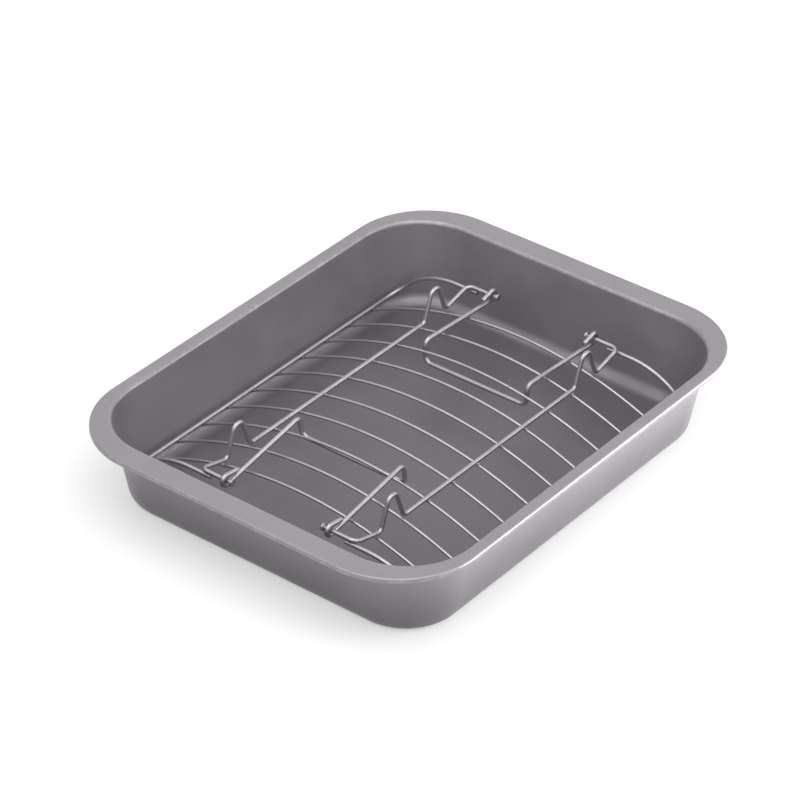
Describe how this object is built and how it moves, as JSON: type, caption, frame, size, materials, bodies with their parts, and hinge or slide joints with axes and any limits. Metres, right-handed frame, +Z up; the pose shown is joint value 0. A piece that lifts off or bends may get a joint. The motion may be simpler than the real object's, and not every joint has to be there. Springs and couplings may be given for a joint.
{
  "type": "roasting pan with rack",
  "caption": "Rectangular drawn roasting pan with a flat flange and a loose arched wire rack whose two hinged wire handles lift it out.",
  "frame": {"origin": "middle of the pan's flat underside", "axes": "+X across the pan to the right, +Y along the pan from its front end to its rear end, +Z up"},
  "size_m": [0.29, 0.37, 0.06],
  "materials": {
    "coated_steel": "satin non-stick coating",
    "chromed_wire": "bright plated wire"
  },
  "bodies": {
    "pan": {"pan": "coated_steel"},
    "rack": {"left_long_bar": "chromed_wire", "right_long_bar": "chromed_wire", "left_outer_wire": "chromed_wire", "right_outer_wire": "chromed_wire", "cross_wire_01": "chromed_wire", "cross_wire_02": "chromed_wire", "cross_wire_03": "chromed_wire", "cross_wire_04": "chromed_wire", "cross_wire_05": "chromed_wire", "cross_wire_06": "chromed_wire", "cross_wire_07": "chromed_wire", "cross_wire_08": "chromed_wire", "cross_wire_09": "chromed_wire", "cross_wire_10": "chromed_wire"},
    "front_handle": {"front_handle": "chromed_wire"},
    "rear_handle": {"rear_handle": "chromed_wire"}
  },
  "joints": [
    {"name": "rack_lift", "type": "slide", "parent": "pan", "child": "rack", "axis": [0, 0, 1], "range_m": [0, 0.12]},
    {"name": "front_handle_hinge", "type": "hinge", "parent": "rack", "child": "front_handle", "pos_m": [0, -0.1363, 0.03873], "axis": [1, 0, 0], "range_deg": [0, 135]},
    {"name": "rear_handle_hinge", "type": "hinge", "parent": "rack", "child": "rear_handle", "pos_m": [0, 0.1393, 0.03873], "axis": [-1, 0, 0], "range_deg": [0, 140]}
  ]
}
